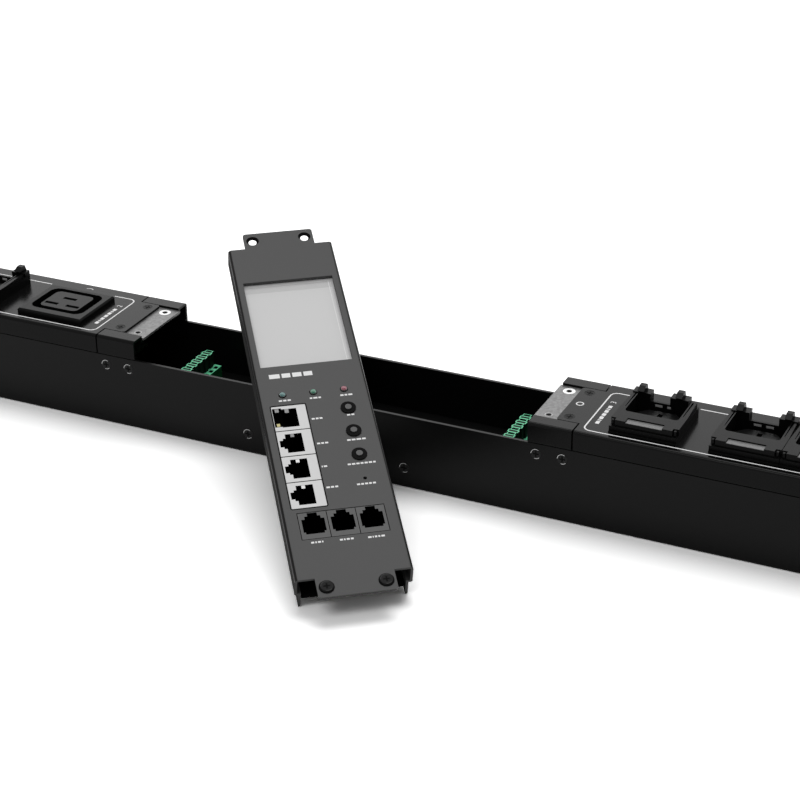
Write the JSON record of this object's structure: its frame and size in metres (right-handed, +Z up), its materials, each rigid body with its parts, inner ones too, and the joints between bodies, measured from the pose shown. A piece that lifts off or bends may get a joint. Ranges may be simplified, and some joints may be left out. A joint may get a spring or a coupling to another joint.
{
  "type": "rack power distribution unit",
  "caption": "Long black rack power strip lying outlets up, its middle bay open and the hot-swap metering module with display, jacks and keys leaning on its side wall.",
  "frame": {"origin": "on the back face that the unit lies on, at the middle of its open bay", "axes": "+X along the unit towards the end without the cord gland, +Y across it away from the leaning module, +Z up out of the outlets"},
  "size_m": [0.6961, 0.2036, 0.0952],
  "materials": {
    "bar_metal": "bare",
    "bare_zinc": "bare spangled zinc",
    "black_screw": "black zinc",
    "board_green": "solder mask",
    "button_plastic": "dark grey moulding",
    "cap_plastic": "satin black",
    "case_paint": "fine satin black powder coat",
    "collar_plastic": "black moulding",
    "contact_metal": "plated",
    "display_face": "pale grey display",
    "display_glass": "clear window",
    "gland_plastic": "matt nylon",
    "holder_plastic": "moulding",
    "insert_plastic": "fine matt black moulding",
    "jack_plastic": "dark grey moulding",
    "jack_shield": "bright tinned shield",
    "label_plastic": "pale grey film",
    "lamp_lens": "clear tinted lens",
    "outlet_plastic": "fine matt black moulding",
    "panel_paint": "fine satin black powder coat",
    "plug_green": "mint green moulding",
    "screw_steel": "zinc plated",
    "support_plastic": "natural moulding",
    "switch_body": "moulding",
    "terminal_plastic": "moulding",
    "tray_paint": "satin black"
  },
  "bodies": {
    "unit": {"base_channel": "case_paint", "bay_tray": "tray_paint", "board_screws": "screw_steel", "board_standoffs": "screw_steel", "board_supports": "support_plastic", "bridge_plate_left": "bare_zinc", "bridge_plate_right": "bare_zinc", "button_collars": "collar_plastic", "c13_insert_1": "insert_plastic", "c13_insert_2": "insert_plastic", "c13_insert_3": "insert_plastic", "c13_insert_4": "insert_plastic", "c13_insert_5": "insert_plastic", "c13_insert_6": "insert_plastic", "c19_housing_1": "outlet_plastic", "c19_housing_2": "outlet_plastic", "c19_inserts": "insert_plastic", "cover_left": "case_paint", "cover_right": "case_paint", "display_holder": "holder_plastic", "display_panel": "display_face", "display_window": "display_glass", "end_cap_left": "cap_plastic", "end_cap_right": "cap_plastic", "gland_body": "gland_plastic", "gland_nut": "gland_plastic", "inlet_terminals": "terminal_plastic", "key_switches": "switch_body", "label_strips": "label_plastic", "link_bars": "bar_metal", "main_board": "board_green", "module_panel": "panel_paint", "module_screws": "black_screw", "network_jack_1": "jack_shield", "network_jack_2": "jack_shield", "network_jack_3": "jack_shield", "network_jack_4": "jack_shield", "outlet_contacts": "contact_metal", "pin_headers": "contact_metal", "plug_block_left": "plug_green", "plug_block_right": "plug_green", "power_boards": "board_green", "rear_press_nuts": "screw_steel", "retention_frame_1": "outlet_plastic", "retention_frame_2": "outlet_plastic", "retention_frame_3": "outlet_plastic", "retention_frame_4": "outlet_plastic", "retention_frame_5": "outlet_plastic", "retention_frame_6": "outlet_plastic", "saddle_left": "case_paint", "saddle_right": "case_paint", "saddle_screws": "black_screw", "small_jacks": "jack_plastic", "status_lamps": "lamp_lens", "tongue_screws": "black_screw", "tray_screws": "black_screw"},
    "key_up": {"button_up": "button_plastic"},
    "key_down": {"button_down": "button_plastic"},
    "key_control": {"button_control": "button_plastic"}
  },
  "joints": [
    {"name": "button_up_press", "type": "slide", "parent": "unit", "child": "key_up", "axis": [-0.2015, 0.2703, -0.9415], "range_m": [0, 0.0003], "stiffness_N_per_m": 900, "springref_m": -0.0006},
    {"name": "button_down_press", "type": "slide", "parent": "unit", "child": "key_down", "axis": [-0.2015, 0.2703, -0.9415], "range_m": [0, 0.0003], "stiffness_N_per_m": 900, "springref_m": -0.0006},
    {"name": "button_control_press", "type": "slide", "parent": "unit", "child": "key_control", "axis": [-0.2015, 0.2703, -0.9415], "range_m": [0, 0.0003], "stiffness_N_per_m": 900, "springref_m": -0.0006}
  ]
}
